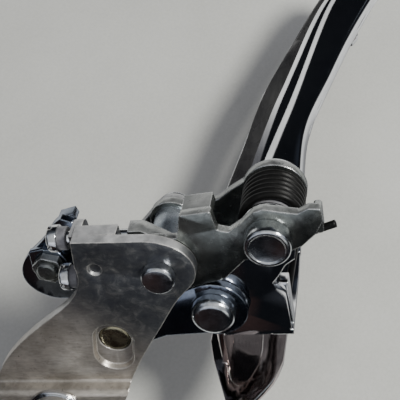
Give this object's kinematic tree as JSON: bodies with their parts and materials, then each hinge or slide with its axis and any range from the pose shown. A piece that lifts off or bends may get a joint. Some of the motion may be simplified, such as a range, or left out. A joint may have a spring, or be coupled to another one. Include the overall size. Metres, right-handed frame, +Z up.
{
  "type": "front derailleur",
  "caption": "Bolt-on bicycle front derailleur: joggled body plate, four-pivot parallelogram with torsion spring, cable arm, limit screws and a long curved two-plate cage.",
  "frame": {"origin": "fixing bolt axis where it leaves the rear face of the mounting plate", "axes": "+X forward along the pivot axes, +Y inboard towards the bicycle's middle plane, +Z up"},
  "size_m": [0.1169, 0.0545, 0.0773],
  "materials": {
    "body_plate": "nickel-plated pressed steel, satin",
    "link_zinc": "zinc-plated pressed steel, dull",
    "cage_chrome": "bright chromed pressed steel",
    "arm_chrome": "bright chromed pressed steel",
    "pin_steel": "polished rivet steel",
    "socket_pin": "yellow-passivated rivet end",
    "screw_bright": "bright plated screws",
    "spring_black": "black spring wire, satin",
    "bush_bronze": "sintered bronze",
    "collar_nylon": "pale nylon"
  },
  "bodies": {
    "body": {"body_bracket": "body_plate", "body_rear_plate": "body_plate", "body_post": "pin_steel", "inner_body_pin": "pin_steel", "outer_body_pin": "socket_pin", "inner_body_washer": "pin_steel", "outer_body_washer": "pin_steel", "fixing_bolt": "screw_bright", "fixing_washer": "screw_bright"},
    "inner_link": {"inner_link": "link_zinc", "inner_link_bush": "bush_bronze"},
    "outer_link": {"outer_link": "arm_chrome", "outer_link_bush": "bush_bronze", "anchor_washer": "screw_bright", "anchor_nut": "screw_bright", "anchor_bolt": "screw_bright"},
    "cage": {"cage_inner_plate": "cage_chrome", "cage_outer_plate": "cage_chrome", "front_rivet": "pin_steel", "rear_rivet": "pin_steel", "tail_spacer": "pin_steel", "tail_screw": "screw_bright", "tail_nut": "screw_bright", "upper_cage_pin": "pin_steel", "lower_cage_pin": "pin_steel", "upper_cage_washer": "pin_steel", "lower_cage_washer": "pin_steel", "lower_pin_tube": "pin_steel", "spring_sleeve": "collar_nylon", "return_spring": "spring_black"},
    "low_screw": {"low_limit_screw": "screw_bright", "low_screw_collar": "collar_nylon"},
    "high_screw": {"high_limit_screw": "screw_bright", "high_screw_collar": "collar_nylon"}
  },
  "joints": [
    {"name": "inner_link_swing", "type": "hinge", "parent": "body", "child": "inner_link", "pos_m": [-0.01, 0.03105, -0.02535], "axis": [-1, 0, 0], "range_deg": [0, 38]},
    {"name": "outer_link_swing", "type": "hinge", "parent": "body", "child": "outer_link", "pos_m": [-0.01, 0.01475, -0.01365], "axis": [-1, 0, 0], "range_deg": [0, 38]},
    {"name": "cage_swing", "type": "hinge", "parent": "inner_link", "child": "cage", "pos_m": [-0.01, 0.03665, -0.04455], "axis": [-1, 0, 0], "range_deg": [-38, 0], "deforming": ["return_spring"]},
    {"name": "low_screw_travel", "type": "slide", "parent": "body", "child": "low_screw", "axis": [0, 0, 1], "range_m": [0, 0.0015]},
    {"name": "high_screw_travel", "type": "slide", "parent": "body", "child": "high_screw", "axis": [0, 0, 1], "range_m": [0, 0.0015]}
  ],
  "couplings": [
    {"joint": "outer_link_swing", "follows": "inner_link_swing", "ratio": 1},
    {"joint": "cage_swing", "follows": "inner_link_swing", "ratio": -1}
  ]
}
